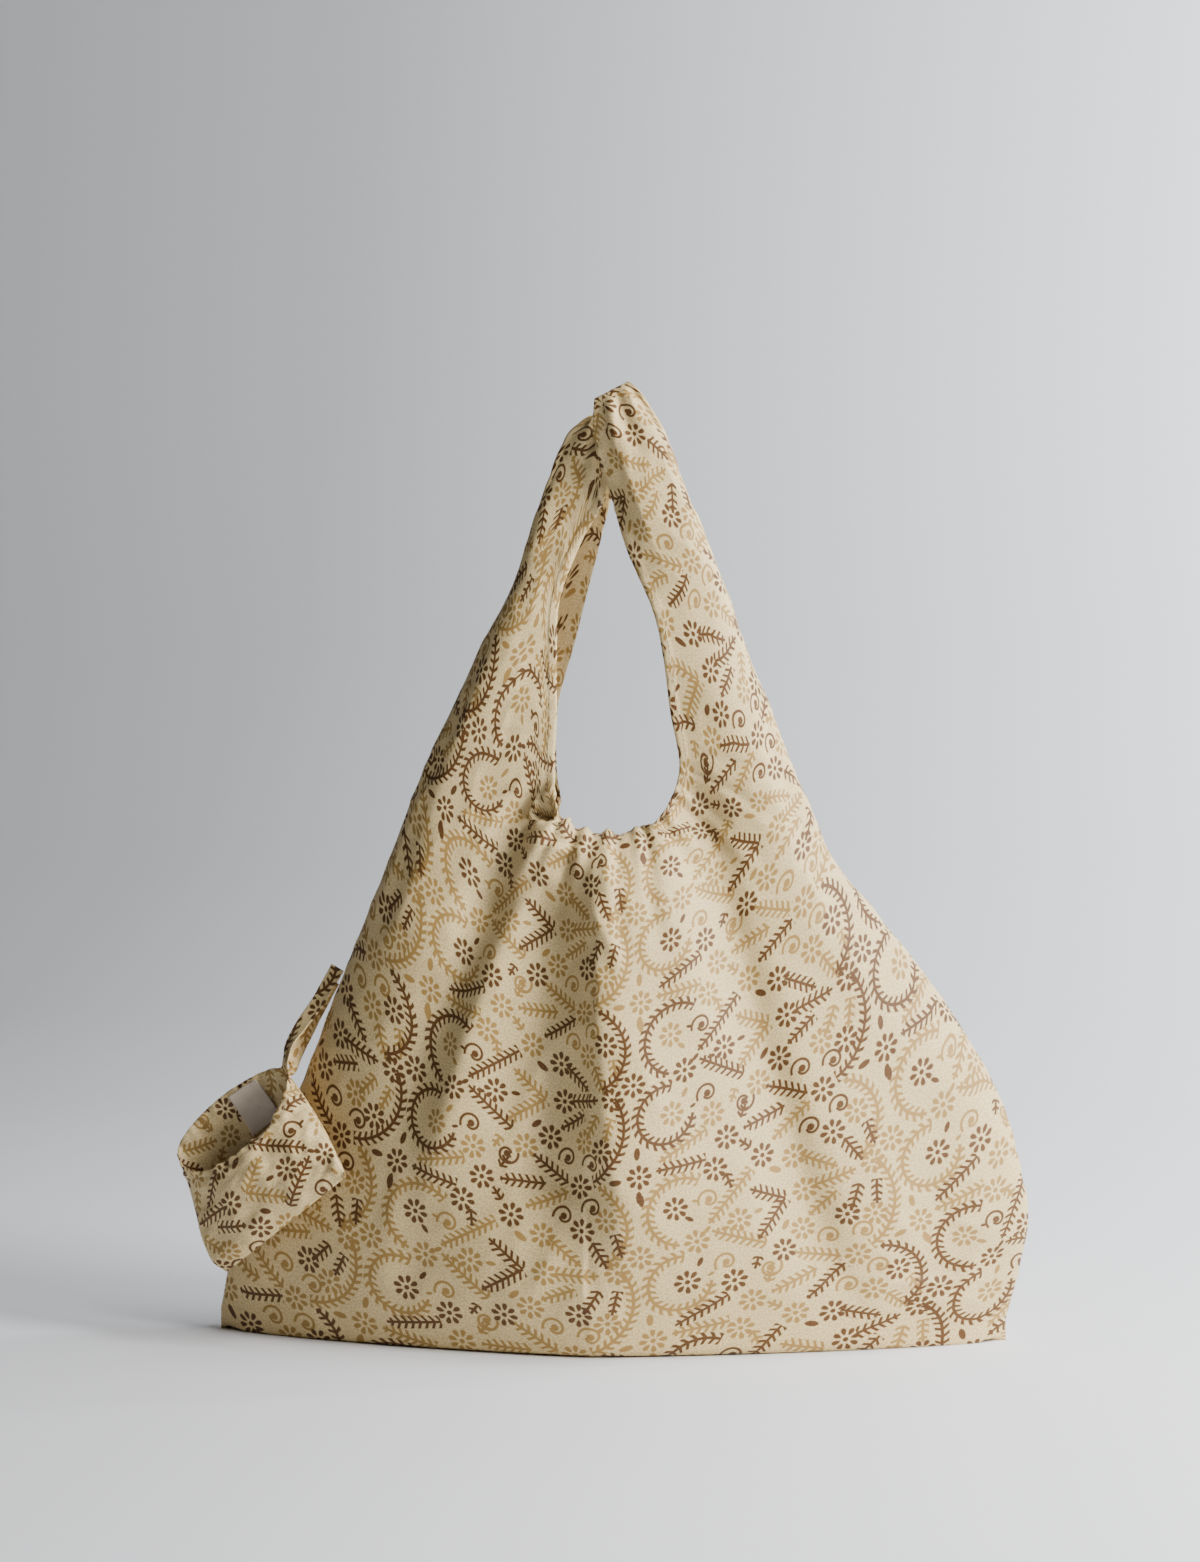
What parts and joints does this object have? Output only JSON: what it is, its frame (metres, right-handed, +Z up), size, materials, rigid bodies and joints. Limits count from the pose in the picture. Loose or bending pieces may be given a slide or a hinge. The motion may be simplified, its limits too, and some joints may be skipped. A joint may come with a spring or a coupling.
{
  "type": "reusable shopping bag",
  "caption": "Printed cloth shopping bag that stands filled, its two handles leaned together, with the small pouch it folds into hanging on a strap at one side.",
  "frame": {"origin": "on the floor under the middle of the whole, pouch included", "axes": "+Z up to the handles, -Y to the front that the picture shows, +X along the bottom seam to the viewer's right"},
  "size_m": [0.5261, 0.1886, 0.59],
  "materials": {
    "print": "cream cloth printed in brown and tan, slight satin sheen",
    "white": "plain white woven label, matt"
  },
  "bodies": {
    "root": {"front_panel": "print", "back_panel": "print", "pouch": "print", "pouch_strap": "print", "pouch_label": "white"}
  },
  "joints": []
}
